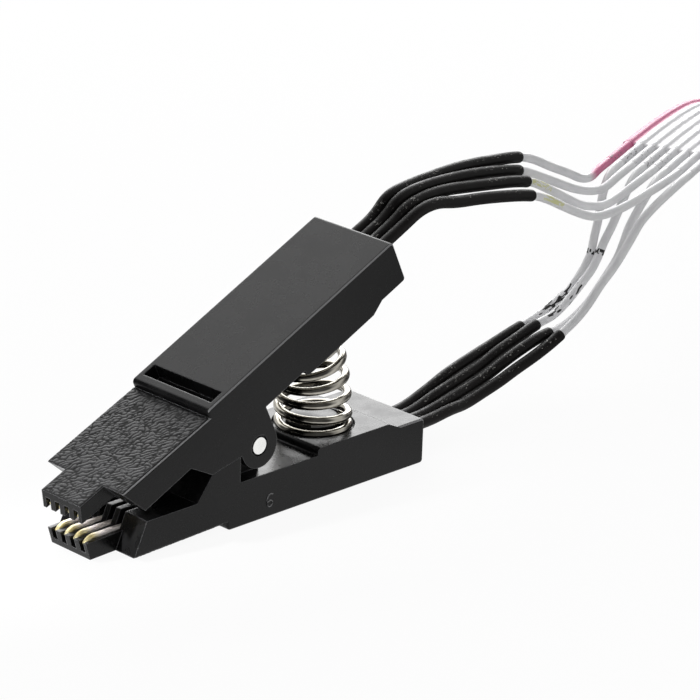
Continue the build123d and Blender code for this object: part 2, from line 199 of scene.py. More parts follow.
def place(tree, kind, inputs=None, **settings):
    """Adds a node. Each input is a value, or a socket of another node to link."""
    made = tree.nodes.new(kind)
    for name, value in settings.items():
        setattr(made, name, value)
    for name, value in (inputs or {}).items():
        if isinstance(value, bpy.types.NodeSocket):
            tree.links.new(value, made.inputs[name])
        else:
            made.inputs[name].default_value = value
    return made


def math_node(tree, operation, first, second=0.0):
    """Result of one sum on two values or sockets."""
    return place(tree, "ShaderNodeMath", {0: first, 1: second}, operation=operation).outputs[0]


def remap(tree, value, low, high, to_low=0.0, to_high=1.0):
    """Value carried from one range to another, held at its ends."""
    inputs = {"Value": value, "From Min": low, "From Max": high, "To Min": to_low, "To Max": to_high}
    return place(tree, "ShaderNodeMapRange", inputs).outputs["Result"]


def mix_colour(tree, factor, first, second):
    """Colour between two colours or sockets."""
    made = place(tree, "ShaderNodeMix", {"Factor": factor}, data_type="RGBA")
    for index, value in ((6, first), (7, second)):
        if isinstance(value, bpy.types.NodeSocket):
            tree.links.new(value, made.inputs[index])
        else:
            made.inputs[index].default_value = (*value, 1.0)
    return made.outputs[2]


def new_group(name, inputs, outputs):
    """Empty shader node group with value inputs and the named outputs."""
    group = bpy.data.node_groups.new(name, "ShaderNodeTree")
    for label, value in inputs.items():
        socket = group.interface.new_socket(label, in_out="INPUT", socket_type="NodeSocketFloat")
        socket.default_value = value
    for label, kind in outputs.items():
        group.interface.new_socket(label, in_out="OUTPUT", socket_type=kind)
    return group, group.nodes.new("NodeGroupInput"), group.nodes.new("NodeGroupOutput")


def moulded_surface_group():
    """Cloudy patches and fine pitting of a moulded surface."""
    group, given, result = new_group(
        "moulded_surface", {"Patch Scale": 300.0, "Pit Scale": 5000.0},
        {"Patches": "NodeSocketFloat", "Pits": "NodeSocketFloat"})
    coords = place(group, "ShaderNodeTexCoord").outputs["Object"]
    patches = place(group, "ShaderNodeTexNoise", {
        "Vector": coords, "Scale": given.outputs["Patch Scale"], "Detail": 3.0, "Roughness": 0.6})
    pits = place(group, "ShaderNodeTexNoise", {
        "Vector": coords, "Scale": given.outputs["Pit Scale"], "Detail": 2.0, "Roughness": 0.55})
    spread = remap(group, patches.outputs["Fac"], 0.32, 0.68)
    group.links.new(spread, result.inputs["Patches"])
    group.links.new(pits.outputs["Fac"], result.inputs["Pits"])
    return group


def edge_wear_and_painted_highlight_group():
    """Masks of painted highlight: where a sharp edge turns, which is also lightened as rubbed wear, and where
    a side fillet faces partly up; and the normal that rounds the edge.
    """
    group, given, result = new_group(
        "worn_edge", {"Radius": 0.1 * mm, "Start": 0.03, "Full": 0.25},
        {"Edge": "NodeSocketFloat", "Fillet": "NodeSocketFloat", "Normal": "NodeSocketVector"})
    rounded = place(group, "ShaderNodeBevel", {"Radius": given.outputs["Radius"]}, samples=6)
    flat = place(group, "ShaderNodeNewGeometry").outputs["True Normal"]
    alike = place(group, "ShaderNodeVectorMath", {0: rounded.outputs["Normal"], 1: flat},
                  operation="DOT_PRODUCT").outputs["Value"]
    turn = math_node(group, "SUBTRACT", 1.0, alike)
    # Sharp edges, which the material lightens as rubbed wear and as a painted highlight
    edge = remap(group, turn, given.outputs["Start"], given.outputs["Full"])
    # A side fillet faces partly sideways and partly up; a painted highlight goes there
    least_sideways, most_sideways, least_up = 0.45, 0.99, 0.1
    facing = place(group, "ShaderNodeSeparateXYZ", {"Vector": flat})
    sideways = math_node(group, "ABSOLUTE", facing.outputs["Y"])
    upward = math_node(group, "GREATER_THAN", facing.outputs["Z"], least_up)
    between = math_node(group, "MULTIPLY", math_node(group, "GREATER_THAN", sideways, least_sideways),
                        math_node(group, "LESS_THAN", sideways, most_sideways))
    fillet = math_node(group, "MULTIPLY", between, upward)
    group.links.new(fillet, result.inputs["Fillet"])
    group.links.new(edge, result.inputs["Edge"])
    group.links.new(rounded.outputs["Normal"], result.inputs["Normal"])
    return group


def print_specks_group():
    """Broken marks in a stripe along a tube, from its around and along coordinates."""
    group, given, result = new_group(
        "print_specks", {"Stripe": 0.25, "Half Width": 0.07, "Mark Scale": 2.4, "Threshold": 0.6, "Seed": 0.0,
                         "Word Start": 0.48, "From": 0.0, "To": 1000.0, "Fineness": 3.0},
        {"Specks": "NodeSocketFloat"})
    coords = place(group, "ShaderNodeUVMap").outputs["UV"]
    split = place(group, "ShaderNodeSeparateXYZ", {"Vector": coords})
    around = split.outputs["X"]
    along = split.outputs["Y"]
    offset = math_node(group, "ABSOLUTE", math_node(group, "SUBTRACT", around, given.outputs["Stripe"]))
    stripe = math_node(group, "LESS_THAN", offset, given.outputs["Half Width"])
    stretched = place(group, "ShaderNodeCombineXYZ", {
        "X": math_node(group, "MULTIPLY", around, 9.0), "Y": along, "Z": given.outputs["Seed"]})
    marks = place(group, "ShaderNodeTexNoise", {
        "Vector": stretched.outputs[0], "Scale": given.outputs["Mark Scale"],
        "Detail": given.outputs["Fineness"], "Roughness": 0.7})
    mark = remap(group, marks.outputs["Fac"], given.outputs["Threshold"],
                 math_node(group, "ADD", given.outputs["Threshold"], 0.05))
    runs = place(group, "ShaderNodeCombineXYZ", {"Y": along, "Z": given.outputs["Seed"]})
    words = place(group, "ShaderNodeTexNoise", {"Vector": runs.outputs[0], "Scale": 0.33, "Detail": 1.0})
    word = remap(group, words.outputs["Fac"], given.outputs["Word Start"],
                 math_node(group, "ADD", given.outputs["Word Start"], 0.06))
    window = math_node(group, "MULTIPLY", math_node(group, "GREATER_THAN", along, given.outputs["From"]),
                       math_node(group, "LESS_THAN", along, given.outputs["To"]))
    specks = math_node(group, "MULTIPLY", math_node(group, "MULTIPLY", mark, stripe),
                       math_node(group, "MULTIPLY", word, window))
    group.links.new(specks, result.inputs["Specks"])
    return group


moulded_surface = moulded_surface_group()
worn_edge = edge_wear_and_painted_highlight_group()
print_specks = print_specks_group()


def grouped(tree, group, values):
    """Places a node group in a material with its own values."""
    return place(tree, "ShaderNodeGroup", values, node_tree=group).outputs


def own_seed(tree):
    """Number of its own for each piece, which shifts the marks on it."""
    return math_node(tree, "MULTIPLY", place(tree, "ShaderNodeObjectInfo").outputs["Random"], 40.0)


def new_material(name):
    """Material with a plain shader, its node tree and that shader."""
    material = bpy.data.materials.new(name)
    material.use_nodes = True
    tree = material.node_tree
    return material, tree, tree.nodes["Principled BSDF"]


def set_bump(tree, surface, height, depth, strength=1.0, normal=None):
    """Relief from a height that runs from 0 to 1, on a plain or rounded normal."""
    inputs = {"Height": height, "Distance": depth, "Strength": strength}
    if normal is not None:
        inputs["Normal"] = normal
    bump = place(tree, "ShaderNodeBump", inputs)
    tree.links.new(bump.outputs["Normal"], surface.inputs["Normal"])


# Finishes

def arm_plastic():
    """Black moulded plastic with a satin skin, edges lightened as rubbed wear and painted highlight, and a
    painted highlight on the side fillets.
    """
    material, tree, surface = new_material("arm_plastic")
    skin = grouped(tree, moulded_surface, {"Patch Scale": 420.0, "Pit Scale": 4200.0})
    rim = grouped(tree, worn_edge, {"Radius": 0.16 * mm, "Start": 0.02, "Full": 0.2})
    body = mix_colour(tree, skin["Patches"], (0.0035, 0.0035, 0.0037), (0.006, 0.006, 0.0063))
    # Sharp edges lightened: partly rubbed wear, partly painted highlight
    colour = mix_colour(tree, rim["Edge"], body, (0.09, 0.09, 0.094))
    # Painted highlight on the side fillets that face partly up
    colour = mix_colour(tree, rim["Fillet"], colour, (0.24, 0.24, 0.245))
    tree.links.new(colour, surface.inputs["Base Color"])
    tree.links.new(remap(tree, skin["Patches"], 0.0, 1.0, 0.20, 0.34), surface.inputs["Roughness"])
    surface.inputs["Specular IOR Level"].default_value = 0.19
    set_bump(tree, surface, skin["Pits"], 0.006 * mm, 0.5, rim["Normal"])
    return material


def grain_plastic():
    """Black plastic with leather grain: painted shade in the grooves, polished on the crests."""
    material, tree, surface = new_material("grain_plastic")
    height = place(tree, "ShaderNodeAttribute", attribute_name="crest").outputs["Fac"]
    skin = grouped(tree, moulded_surface, {"Patch Scale": 500.0, "Pit Scale": 6000.0})
    crest = mix_colour(tree, skin["Patches"], (0.006, 0.006, 0.0065), (0.017, 0.017, 0.0185))
    # Painted shade: the grooves are coloured darker than the crests
    colour = mix_colour(tree, remap(tree, height, 0.3, 0.8), (0.002, 0.002, 0.002), crest)
    tree.links.new(colour, surface.inputs["Base Color"])
    tree.links.new(remap(tree, height, 0.2, 0.9, 0.7, 0.34), surface.inputs["Roughness"])
    surface.inputs["Specular IOR Level"].default_value = 0.3
    set_bump(tree, surface, skin["Pits"], 0.008 * mm, 0.6)
    return material


def bright_metal(name, colour, stain, roughness, line_scale):
    """Drawn or plated metal with faint lines and patches."""
    material, tree, surface = new_material(name)
    skin = grouped(tree, moulded_surface, {"Patch Scale": 500.0, "Pit Scale": line_scale})
    rim = grouped(tree, worn_edge, {"Radius": 0.05 * mm})
    tree.links.new(mix_colour(tree, skin["Patches"], stain, colour), surface.inputs["Base Color"])
    surface.inputs["Metallic"].default_value = 1.0
    tree.links.new(remap(tree, skin["Pits"], 0.3, 0.7, roughness * 0.75, roughness * 1.3),
                   surface.inputs["Roughness"])
    set_bump(tree, surface, skin["Pits"], 0.003 * mm, 0.3, rim["Normal"])
    return material


def contact_gold():
    """Gold flash, yellow at the worn nose and pale along the strip."""
    material, tree, surface = new_material("contact_gold")
    skin = grouped(tree, moulded_surface, {"Patch Scale": 1600.0, "Pit Scale": 7000.0})
    coords = place(tree, "ShaderNodeUVMap").outputs["UV"]
    along = place(tree, "ShaderNodeSeparateXYZ", {"Vector": coords}).outputs["Y"]
    behind = remap(tree, along, 1.0, 2.0)
    gold = mix_colour(tree, skin["Patches"], (0.88, 0.74, 0.36), (0.98, 0.90, 0.56))
    colour = mix_colour(tree, behind, gold, (1.0, 0.93, 0.89))
    tree.links.new(colour, surface.inputs["Base Color"])
    tree.links.new(remap(tree, along, 0.9, 1.8, 0.85, 0.15), surface.inputs["Metallic"])
    wear = remap(tree, skin["Pits"], 0.3, 0.7, 0.0, 0.1)
    tree.links.new(math_node(tree, "ADD", wear, remap(tree, along, 1.0, 2.0, 0.28, 0.4)),
                   surface.inputs["Roughness"])
    set_bump(tree, surface, skin["Pits"], 0.001 * mm, 0.4)
    return material


def heat_shrink():
    """Black heat-shrink sleeve with dust, and light specks in a stripe along its top that are partly broken
    print and partly painted glint.
    """
    material, tree, surface = new_material("heat_shrink")
    skin = grouped(tree, moulded_surface, {"Patch Scale": 700.0, "Pit Scale": 5200.0})
    specks = grouped(tree, print_specks, {
        "Stripe": 0.3, "Half Width": 0.1, "Threshold": 0.6, "Seed": own_seed(tree)})
    body = mix_colour(tree, skin["Patches"], (0.0042, 0.0036, 0.0033), (0.009, 0.0078, 0.0072))
    # Light specks near the top of the sleeve: partly print, partly painted glint
    colour = mix_colour(tree, specks["Specks"], body, (0.36, 0.35, 0.33))
    tree.links.new(colour, surface.inputs["Base Color"])
    tree.links.new(remap(tree, skin["Patches"], 0.0, 1.0, 0.4, 0.58), surface.inputs["Roughness"])
    surface.inputs["Specular IOR Level"].default_value = 0.18
    set_bump(tree, surface, skin["Pits"], 0.012 * mm, 0.6)
    return material


def wire_grey(name, pink_start=1000.0, print_run=(0.0, 0.0), print_band=(0.0, 0.0), stain_run=(0.0, 0.0)):
    """Light grey flexible jacket, with black print, a yellow stain or a pink end over runs along it."""
    material, tree, surface = new_material(name)
    skin = grouped(tree, moulded_surface, {"Patch Scale": 420.0, "Pit Scale": 4200.0})
    coords = place(tree, "ShaderNodeUVMap").outputs["UV"]
    along = place(tree, "ShaderNodeSeparateXYZ", {"Vector": coords}).outputs["Y"]
    seed = own_seed(tree)

    def marks(run, stripe, half_width, scale, threshold, fineness):
        """Specks over one run along the wire."""
        return grouped(tree, print_specks, {
            "Stripe": stripe, "Half Width": half_width, "Mark Scale": scale, "Threshold": threshold,
            "Fineness": fineness, "Seed": seed, "Word Start": 0.0, "From": run[0], "To": run[1]})["Specks"]

    letters = marks(print_run, 0.38, 0.2, 1.35, 0.57, 0.0)
    band = marks(print_band, 0.4, 0.3, 1.7, 0.42, 0.0)
    stain = marks(stain_run, 0.36, 0.2, 1.2, 0.45, 3.0)
    body = mix_colour(tree, skin["Patches"], (0.72, 0.722, 0.735), (0.80, 0.80, 0.81))
    body = mix_colour(tree, remap(tree, along, pink_start, pink_start + 1.5), body, pink)
    body = mix_colour(tree, stain, body, (0.66, 0.66, 0.34))
    body = mix_colour(tree, math_node(tree, "MAXIMUM", letters, band), body, (0.012, 0.012, 0.012))
    tree.links.new(body, surface.inputs["Base Color"])
    tree.links.new(remap(tree, skin["Patches"], 0.0, 1.0, 0.34, 0.46), surface.inputs["Roughness"])
    set_bump(tree, surface, skin["Pits"], 0.008 * mm, 0.4)
    return material


def ribbon_grey():
    """Grey bonded conductors, the far one striped pink."""
    material, tree, surface = new_material("ribbon_grey")
    skin = grouped(tree, moulded_surface, {"Patch Scale": 300.0, "Pit Scale": 4200.0})
    specks = grouped(tree, print_specks, {
        "Stripe": 2.8, "Half Width": 2.2, "Mark Scale": 1.6, "Threshold": 0.56, "Seed": 9.0,
        "Word Start": 0.0, "To": 4.5})
    coords = place(tree, "ShaderNodeUVMap").outputs["UV"]
    across = place(tree, "ShaderNodeSeparateXYZ", {"Vector": coords}).outputs["X"]
    body = mix_colour(tree, skin["Patches"], (0.70, 0.70, 0.72), (0.78, 0.775, 0.79))
    striped = mix_colour(tree, math_node(tree, "LESS_THAN", across, 1.0), body, pink)
    colour = mix_colour(tree, specks["Specks"], striped, (0.12, 0.12, 0.13))
    tree.links.new(colour, surface.inputs["Base Color"])
    tree.links.new(remap(tree, skin["Patches"], 0.0, 1.0, 0.36, 0.48), surface.inputs["Roughness"])
    set_bump(tree, surface, skin["Pits"], 0.008 * mm, 0.4)
    return material


finishes = {
    "arm": arm_plastic(),
    "grain": grain_plastic(),
    "pin": bright_metal("pin_steel", (0.93, 0.93, 0.91), (0.80, 0.80, 0.78), 0.24, 4000.0),
    "spring": bright_metal("spring_nickel", (0.48, 0.46, 0.41), (0.24, 0.225, 0.19), 0.13, 3000.0),
    "gold": contact_gold(),
    "solder": bright_metal("solder_tin", (0.58, 0.58, 0.57), (0.42, 0.42, 0.42), 0.4, 3500.0),
    "sleeve": heat_shrink(),
    "wire": wire_grey("wire_grey"),
    "pink_wire": wire_grey("wire_pink_end", pink_start=pink_from),
    "printed_wire": wire_grey("wire_printed", print_run=(21.4, 26.9), print_band=(30.7, 31.3)),
    "stained_wire": wire_grey("wire_stained", stain_run=(20.9, 24.0)),
    "ribbon": ribbon_grey(),
}


def dress(piece, finish):
    """Gives a piece one finish."""
    piece.data.materials.clear()
    piece.data.materials.append(finishes[finish])


# Mesh tools

def new_piece(name, mesh, finish):
    """Object for a finished mesh, with its finish."""
    piece = bpy.data.objects.new(name, mesh)
    bpy.context.scene.collection.objects.link(piece)
    dress(piece, finish)
    return piece


def spline_points(points):
    """Points of the smooth line that a route's control points give."""
    curve = bpy.data.curves.new("route", "CURVE")
    curve.dimensions = "3D"
    spline = curve.splines.new("NURBS")
    spline.points.add(len(points) - 1)
    for control, location in zip(spline.points, points):
        control.co = (*location, 1.0)
    spline.order_u = 3
    spline.use_endpoint_u = True
    spline.resolution_u = 24
    holder = bpy.data.objects.new("route", curve)
    line = bpy.data.meshes.new_from_object(holder)
    found = [vertex.co.copy() for vertex in line.vertices]
    bpy.data.objects.remove(holder)
    bpy.data.curves.remove(curve)
    bpy.data.meshes.remove(line)
    return found


def measured(points):
    """Distance along a line at each of its points."""
    distances = [0.0]
    for before, after in zip(points, points[1:]):
        distances.append(distances[-1] + (after - before).length)
    return distances


def at_distance(points, distances, wanted):
    """Place and direction on a line at a distance along it."""
    last = len(points) - 2
    index = 0
    while index < last and distances[index + 1] < wanted:
        index += 1
    step = points[index + 1] - points[index]
    share = (wanted - distances[index]) / step.length
    return points[index] + step * share, step.normalized()


def swept_mesh(name, rings, coordinates):
    """Closed mesh over equal rings, with capped ends and a coordinate map."""
    mesh = bpy.data.meshes.new(name)
    builder = bmesh.new()
    layer = builder.loops.layers.uv.new("UVMap")
    rows = [[builder.verts.new(location) for location in ring] for ring in rings]
    count = len(rings[0])
    for i in range(len(rows) - 1):
        for j in range(count):
            k = (j + 1) % count
            face = builder.faces.new((rows[i][j], rows[i][k], rows[i + 1][k], rows[i + 1][j]))
            face.smooth = True
            corners = ((i, j), (i, j + 1), (i + 1, j + 1), (i + 1, j))
            for loop, (row, column) in zip(face.loops, corners):
                loop[layer].uv = coordinates(row, column)
    for row, order in ((0, range(count - 1, -1, -1)), (len(rows) - 1, range(count))):
        cap = builder.faces.new([rows[row][column] for column in order])
        for loop, column in zip(cap.loops, order):
            loop[layer].uv = coordinates(row, column)
    bmesh.ops.recalc_face_normals(builder, faces=builder.faces)
    builder.to_mesh(mesh)
    builder.free()
    return mesh


def round_tube(name, points, stations, across, sides=20, first=0):
    """Tube through (distance, radius) stations along a line.

    Its coordinate map runs around, from a first value, and along in millimetres.
    """
    distances = measured(points)
    rings = []
    for distance, radius in stations:
        centre, forward = at_distance(points, distances, distance)
        side = (across - forward * across.dot(forward)).normalized()
        up = forward.cross(side)
        turns = [2 * math.pi * i / sides for i in range(sides)]
        rings.append([centre + (side * math.cos(turn) + up * math.sin(turn)) * radius for turn in turns])
    return swept_mesh(name, rings, lambda row, column: (first + column / sides, stations[row][0] / mm))


def even_stations(length, radius, spacing):
    """Stations of one radius at even distances."""
    count = max(2, round(length / spacing))
    return [(length * i / count, radius) for i in range(count + 1)]


# Wires, sleeves and ribbon

def conductor(index):
    """Start of one ribbon conductor, counted from the far edge."""
    return ribbon_start + ribbon_across * (index - (ribbon_count - 1) / 2) * ribbon_pitch


def wire_route(row, turned, lead_out, hand_points, index):
    """Control points of one wire, and the seat of its sleeve."""
    def on_arm(x):
        side = -contact_rows[row] if turned is turned_over else contact_rows[row]
        return turned @ Vector((x * mm, side * mm, contact_height))
    end = conductor(index)
    loose = [Vector(location) * mm for location in hand_points]
    tail = [(end - ribbon_along * ribbon_lead_in) * mm, end * mm]
    return on_arm(pocket_floor / mm), [on_arm(wire_start), on_arm(lead_out)] + loose + tail


wire_finishes = {
    ("upper", 0): "pink_wire", ("upper", 2): "stained_wire", ("upper", 3): "stained_wire",
    ("lower", 0): "printed_wire", ("lower", 1): "printed_wire",
}


def make_wire(level, row):
    """One wire with its heat-shrink sleeve."""
    turned, lead_out, hand_points, sleeve_ends, index = {
        "upper": (turned_over, upper_lead_out, upper_wire_points[row], upper_sleeve_ends, 2 * row),
        "lower": (not_turned, lower_lead_out, lower_wire_points[row], lower_sleeve_ends, 2 * row + 1),
    }[level]
    seat, route = wire_route(row, turned, lead_out, hand_points, index)
    line = spline_points(route)
    length = measured(line)[-1]
    name = f"{level}_wire_{row + 1}"
    across = Vector((0, 1, 0))
    stations = even_stations(length, wire_radius, wire_step) + [(length + wire_overlap, wire_radius * 0.96)]
    wire = new_piece(f"{name}_jacket", round_tube(name, line, stations, across),
                     wire_finishes.get((level, row), "wire"))
    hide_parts(name)

    sleeve_line = [seat] + line
    sleeve_length = (line[0] - seat).length + sleeve_ends[row] * mm
    stations = even_stations(sleeve_length - sleeve_lip_start, sleeve_radius, sleeve_step)
    stations += [(sleeve_length + distance, sleeve_radius * share) for distance, share in sleeve_lip]
    stations.append((sleeve_length + sleeve_mouth, wire_radius * 1.01))
    sleeve_name = f"{level}_sleeve_{row + 1}"
    sleeve = new_piece(f"{sleeve_name}_shrunk", round_tube(sleeve_name, sleeve_line, stations, across, 24),
                       "sleeve")
    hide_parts(sleeve_name)
    if level == "upper":
        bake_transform(wire)
        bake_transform(sleeve)
    else:
        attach(wire, lower_body)
        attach(sleeve, lower_body)


for row in range(len(contact_rows)):
    make_wire("lower", row)
    make_wire("upper", row)


def joined_mesh(name, meshes):
    """One mesh out of several, which are used up."""
    builder = bmesh.new()
    for part in meshes:
        builder.from_mesh(part)
        bpy.data.meshes.remove(part)
    mesh = bpy.data.meshes.new(name)
    builder.to_mesh(mesh)
    builder.free()
    return mesh


def make_ribbon():
    """Flat cable of bonded conductors, split at its start, from the wires to the socket."""
    route = [(ribbon_start * mm).xy.to_3d() + ribbon_along * along * mm + Vector((0, 0, height * mm))
             for along, height in ribbon_points]
    line = spline_points(route)
    distances = measured(line)
    length = distances[-1]
    middles = [(index - (ribbon_count - 1) / 2) * ribbon_pitch * mm for index in range(ribbon_count)]
    per_lobe = 10
    lobes = []
    for index, middle in enumerate(middles):
        for step in range(per_lobe):
            share = (step + 0.5) / per_lobe
            offset = (share - 0.5) * ribbon_pitch * mm
            depth = max(math.sqrt(max(wire_radius ** 2 - offset ** 2, 0.0)), ribbon_web)
            lobes.append((middle + offset, depth, index + share))
    outline = lobes + [(across, -depth, place_across) for across, depth, place_across in reversed(lobes)]
    outline.append(outline[0])
    stations = [ribbon_split + distance
                for distance, _ in even_stations(length - ribbon_split, wire_radius, ribbon_step)]
    rings = []
    for distance in stations:
        centre, forward = at_distance(line, distances, distance)
        up = ribbon_across.cross(forward)
        rings.append([centre + ribbon_across * across + up * depth for across, depth, _ in outline[:-1]])
    pieces = [swept_mesh("web", rings, lambda row, column: (outline[column][2], stations[row] / mm))]
    for index, middle in enumerate(middles):
        strand = [point + ribbon_across * middle for point in line]
        ends = even_stations(ribbon_split + wire_overlap, wire_radius, wire_step)
        ends[0] = (0.0, wire_radius * 0.97)
        pieces.append(round_tube("strand", strand, ends, ribbon_across, first=index))
    ribbon = new_piece("ribbon_cable", joined_mesh("ribbon", pieces), "ribbon")
    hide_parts("ribbon")
    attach(ribbon, lower_body)


make_ribbon()


# Spring

def make_spring():
    """Compression spring fanned between the tilted seats, with closed ends."""
    lift = (pivot.z - spring_floor) / math.sin(rest_angle / 2)
    fan_axis = pivot - Matrix.Rotation(-rest_angle / 2, 3, "Y") @ Vector((lift, 0, 0))
    fan_radius = spring_position - fan_axis.x
    coil_radius = (spring_diameter - spring_wire) / 2
    turns = spring_active_turns + 2
    closed_rise = spring_wire + spring_seat_gap

    def closed_angle(turn, radius):
        climb = closed_rise * max(0, 2 * turn - 1)
        return (spring_wire / 2 + spring_seat_gap + climb) / radius

    def fan_angle(turn, radius):
        if turn <= 1:
            return closed_angle(turn, radius)
        if turn >= turns - 1:
            return rest_angle - closed_angle(turns - turn, radius)
        first = closed_angle(1, radius)
        return first + (rest_angle - 2 * first) * (turn - 1) / spring_active_turns

    def coil_point(turn):
        swing = 2 * math.pi * turn
        radius = fan_radius + coil_radius * math.cos(swing)
        eased = [min(max(turn + shift, 0), turns) for shift in spring_easing]
        angle = sum(fan_angle(value, radius) for value in eased) / len(eased)
        spoke = Matrix.Rotation(-angle, 3, "Y") @ Vector((radius, 0, 0))
        return fan_axis + spoke + Vector((0, -coil_radius * math.sin(swing), 0))

    steps = round(spring_steps_per_turn * turns)
    line = [coil_point(turns * i / steps) for i in range(steps + 1)]
    distances = measured(line)
    sides = 14
    rings = []
    for i, centre in enumerate(line):
        forward = (line[min(i + 1, steps)] - line[max(i - 1, 0)]).normalized()
        outward = Vector((centre.x - spring_position, centre.y, 0.0))
        side = (outward - forward * outward.dot(forward)).normalized()
        up = forward.cross(side)
        spins = [2 * math.pi * j / sides for j in range(sides)]
        rings.append([centre + (side * math.cos(spin) + up * math.sin(spin)) * spring_wire / 2
                      for spin in spins])
    mesh = swept_mesh("spring", rings, lambda row, column: (column / sides, distances[row] / mm))
    coil = new_piece("spring_coil", mesh, "spring")
    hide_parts("spring")
    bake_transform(coil)


make_spring()


# Leather grain on the recessed jaw faces

def grain_waves():
    """Plane waves of about one wavelength and heading, whose sum wanders like the folds of leather."""
    draw = random.Random(5)
    waves = []
    for _ in range(grain_wave_count):
        heading = grain_heading + draw.gauss(0.0, grain_spread)
        number = 2 * math.pi / (draw.uniform(*grain_wavelengths) * mm)
        waves.append((math.cos(heading) * number, math.sin(heading) * number, draw.uniform(0, 2 * math.pi)))
    return waves


leather_waves = grain_waves()


def grain_height(x, y):
    """Height of the leather grain, from 0 in the thin grooves, where the waves cancel, to 1 on a crest."""
    total = sum(math.cos(kx * x + ky * y + phase) for kx, ky, phase in leather_waves)
    return 1 - math.exp(-(total / math.sqrt(len(leather_waves) / 2) / grain_groove) ** 2)


def recess_height(x):
    """Height of the tilted recessed face of an arm."""
    share = (-x - recess_start) / (jaw_length + tip_length - recess_start)
    return recess_depth + (recess_front_depth - recess_depth) * share


def make_grain(name, turned, body):
    """Grained skin over the recessed face and the comb tip of one jaw."""
    spacing = 0.085 * mm
    margin = 0.22 * mm
    relief = 0.06 * mm
    lift = 0.01 * mm
    sunk_edge = 0.015 * mm
    skirt = 0.12 * mm
    clear = 0.02 * mm
    rear = -recess_start - clear
    front = -jaw_length
    tip = front - tip_length

    def inset(x, y):
        """Distance from a place on the skin to the skin's edge."""
        if x > front:
            ahead = x - front if abs(y) > tip_half_width else half_width
            return min(half_width - abs(y), rear - x, ahead)
        return min(tip_half_width - abs(y), x - tip)

    columns = round((rear - tip) / spacing)
    rows = round(2 * half_width / spacing)
    builder = bmesh.new()
    crest = builder.verts.layers.float.new("crest")
    grid = {}
    for i in range(columns + 1):
        for j in range(rows + 1):
            x = tip + (rear - tip) * i / columns
            y = -half_width + 2 * half_width * j / rows
            room = inset(x, y)
            if room < clear:
                continue
            height = grain_height(x, y)
            fade = min(1.0, room / margin)
            rise = (relief * height + lift) * fade - sunk_edge * (1 - fade)
            vertex = builder.verts.new((x, y, recess_height(x) - rise))
            vertex[crest] = height * fade
            grid[i, j] = vertex
    for i in range(columns):
        for j in range(rows):
            corners = [(i, j), (i, j + 1), (i + 1, j + 1), (i + 1, j)]
            if all(corner in grid for corner in corners):
                face = builder.faces.new([grid[corner] for corner in corners])
                face.smooth = True
    loose = [vertex for vertex in builder.verts if not vertex.link_faces]
    bmesh.ops.delete(builder, geom=loose, context="VERTS")
    border = [edge for edge in builder.edges if edge.is_boundary]
    hem = bmesh.ops.extrude_edge_only(builder, edges=border)
    for item in hem["geom"]:
        if isinstance(item, bmesh.types.BMVert):
            item.co.z += skirt
    bmesh.ops.recalc_face_normals(builder, faces=builder.faces)
    mesh = bpy.data.meshes.new(name)
    builder.to_mesh(mesh)
    builder.free()
    mesh.transform(turned)
    piece = new_piece(name, mesh, "grain")
    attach(piece, body)


make_grain("lower_grain", not_turned, lower_body)
make_grain("upper_grain", turned_over, upper_body)


# Contacts

def rounded_section(half_across, half_up, corner, per_corner=4):
    """Points round a rectangle with rounded corners."""
    points = []
    for quarter, (sign_across, sign_up) in enumerate(((1, 1), (-1, 1), (-1, -1), (1, -1))):
        for step in range(per_corner):
            turn = math.pi / 2 * (quarter + step / (per_corner - 1))
            points.append((sign_across * (half_across - corner) + corner * math.cos(turn),
                           sign_up * (half_up - corner) + corner * math.sin(turn)))
    return points


def make_contact(level, row, turned, side, body):
    """Spring contact with rounded edges, a straight strip and a hooked, domed nose."""
    section = rounded_section(contact_width / 2, contact_thickness / 2, contact_corner)
    hub = Vector((-nose_start, side, contact_height - nose_radius))
    stations = []
    for step in range(nose_steps + 1):
        turn = nose_turn * (1 - step / nose_steps)
        outward = Vector((-math.sin(turn), 0, math.cos(turn)))
        stations.append((hub + outward * nose_radius, outward, 1.0))
    tip, outward, _ = stations[0]
    ahead = Vector((-outward.z, 0, outward.x))
    dome = [(tip + ahead * reach * mm, outward, scale) for reach, scale in nose_dome]
    strip = [(Vector((x, side, contact_height)), Vector((0, 0, 1)), 1.0)
             for x in (-nose_start / 2, 0.0, contact_tail_end / 2, contact_tail_end)]
    stations = dome + stations + strip
    distances = measured([centre for centre, _, _ in stations])
    rings = [[centre + (Vector((0, 1, 0)) * across + outward * up) * scale for across, up in section]
             for centre, outward, scale in stations]
    mesh = swept_mesh("contact", rings, lambda row, column: (column / len(section), distances[row] / mm))
    mesh.transform(turned)
    name = f"{level}_contact_{row + 1}"
    contact = new_piece(f"{name}_strip", mesh, "gold")
    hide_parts(name)
    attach(contact, body)


for row in range(len(contact_rows)):
    make_contact("lower", row, not_turned, contact_rows[row] * mm, lower_body)
    make_contact("upper", row, turned_over, -contact_rows[row] * mm, upper_body)


# Mould number

def make_mould_number():
    """Raised figure six on the near side of the lower arm."""
    line = spline_points([Vector((x * mm, -half_width, z * mm)) for x, z in mould_number_stroke])
    stations = even_stations(measured(line)[-1], mould_number_radius, mould_number_step)
    mesh = round_tube("mould_number", line, stations, Vector((0, 1, 0)), 10)
    number = new_piece("mould_number", mesh, "arm")
    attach(number, lower_body)


make_mould_number()


# Finishes of the solids that stay

for name in ("lower_arm", "upper_arm", "socket_body", "socket_cover"):
    dress(solids[name], "arm")
dress(solids["pivot_pin"], "pin")
dress(solids["socket_terminals"], "gold")
for level in ("lower", "upper"):
    for row in range(len(contact_rows)):
        dress(solids[f"{level}_solder_{row + 1}"], "solder")


# Floor, light and camera

